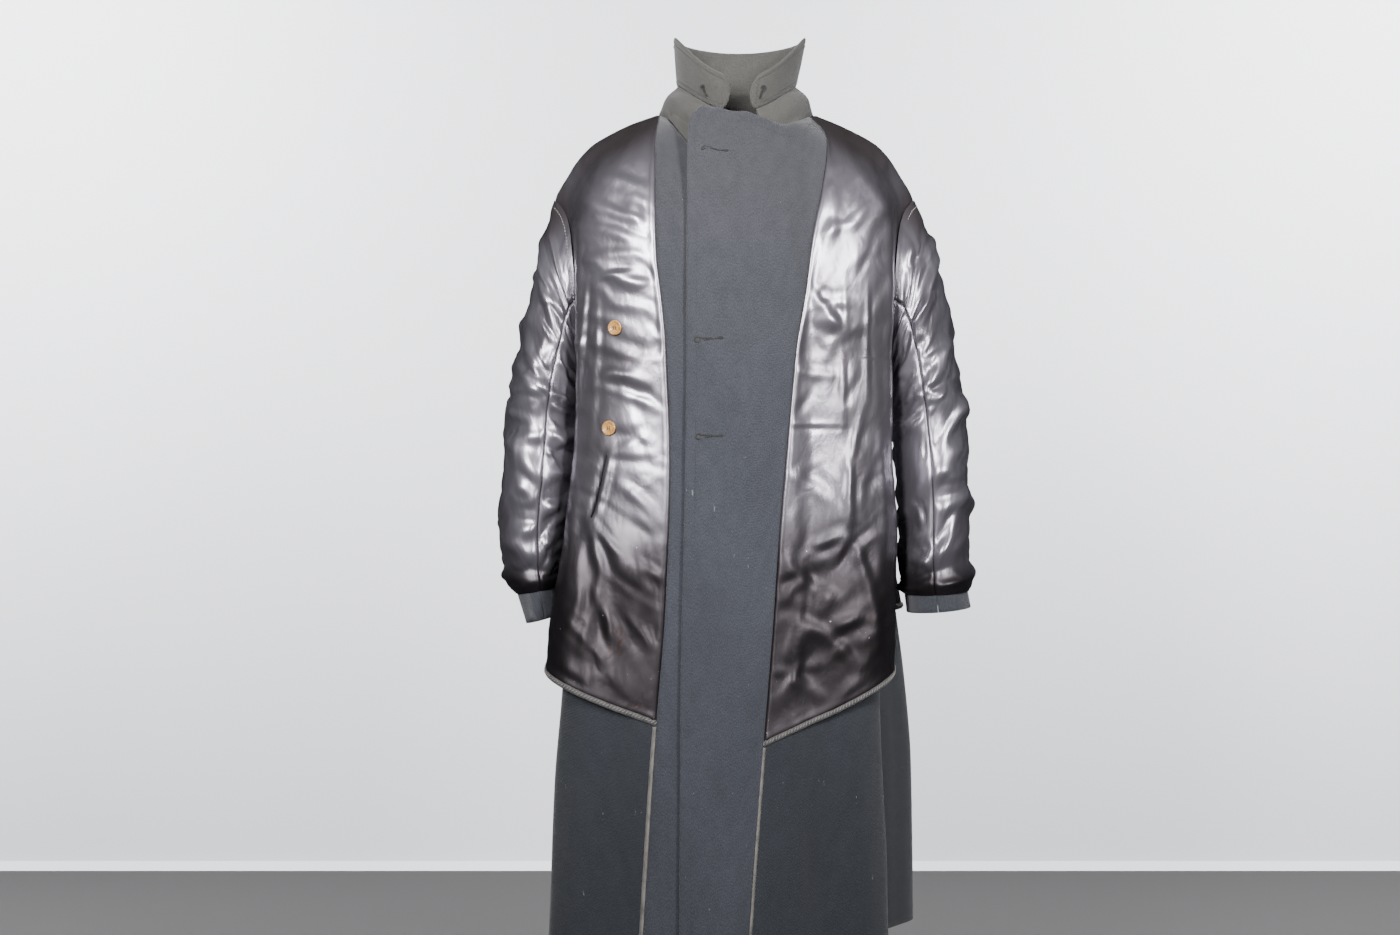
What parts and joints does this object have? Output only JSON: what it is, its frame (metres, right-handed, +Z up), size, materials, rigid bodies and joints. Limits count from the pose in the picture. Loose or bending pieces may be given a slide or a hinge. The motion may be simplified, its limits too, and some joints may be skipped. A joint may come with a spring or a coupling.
{
  "type": "military overcoat",
  "caption": "Long grey wool overcoat worn inside out: satin lining and wool facings outside, stand-up collar, set-in sleeves, hollow worn form.",
  "frame": {"origin": "middle of the neck opening, level with the points where the wearer's shoulders meet the neck", "axes": "+Z up, -Y the way the front faces, +X to the wearer's left"},
  "size_m": [0.6109, 0.3144, 1.1661],
  "materials": {
    "shell_wool": "napped twill",
    "facing_wool": "napped twill",
    "collar_wool": "napped twill",
    "lining_satin": "sheen satin",
    "binding_tape": "matt",
    "button": "semi gloss"
  },
  "bodies": {
    "root": {"front_right": "shell_wool", "front_left": "shell_wool", "back_right": "shell_wool", "back_left": "shell_wool", "sleeve_right_upper": "shell_wool", "sleeve_right_under": "shell_wool", "sleeve_left_upper": "shell_wool", "sleeve_left_under": "shell_wool", "lining_front_right": "lining_satin", "lining_front_left": "lining_satin", "lining_back": "lining_satin", "lining_sleeve_right_upper": "lining_satin", "lining_sleeve_right_under": "lining_satin", "lining_sleeve_left_upper": "lining_satin", "lining_sleeve_left_under": "lining_satin", "facing_right": "facing_wool", "facing_left": "facing_wool", "hem_binding_right": "binding_tape", "hem_binding_left": "binding_tape", "hem_binding_back": "binding_tape", "facing_tape_right": "binding_tape", "facing_tape_left": "binding_tape", "collar_stand": "collar_wool", "collar_leaf": "collar_wool", "button_upper": "button", "button_lower": "button"}
  },
  "joints": []
}
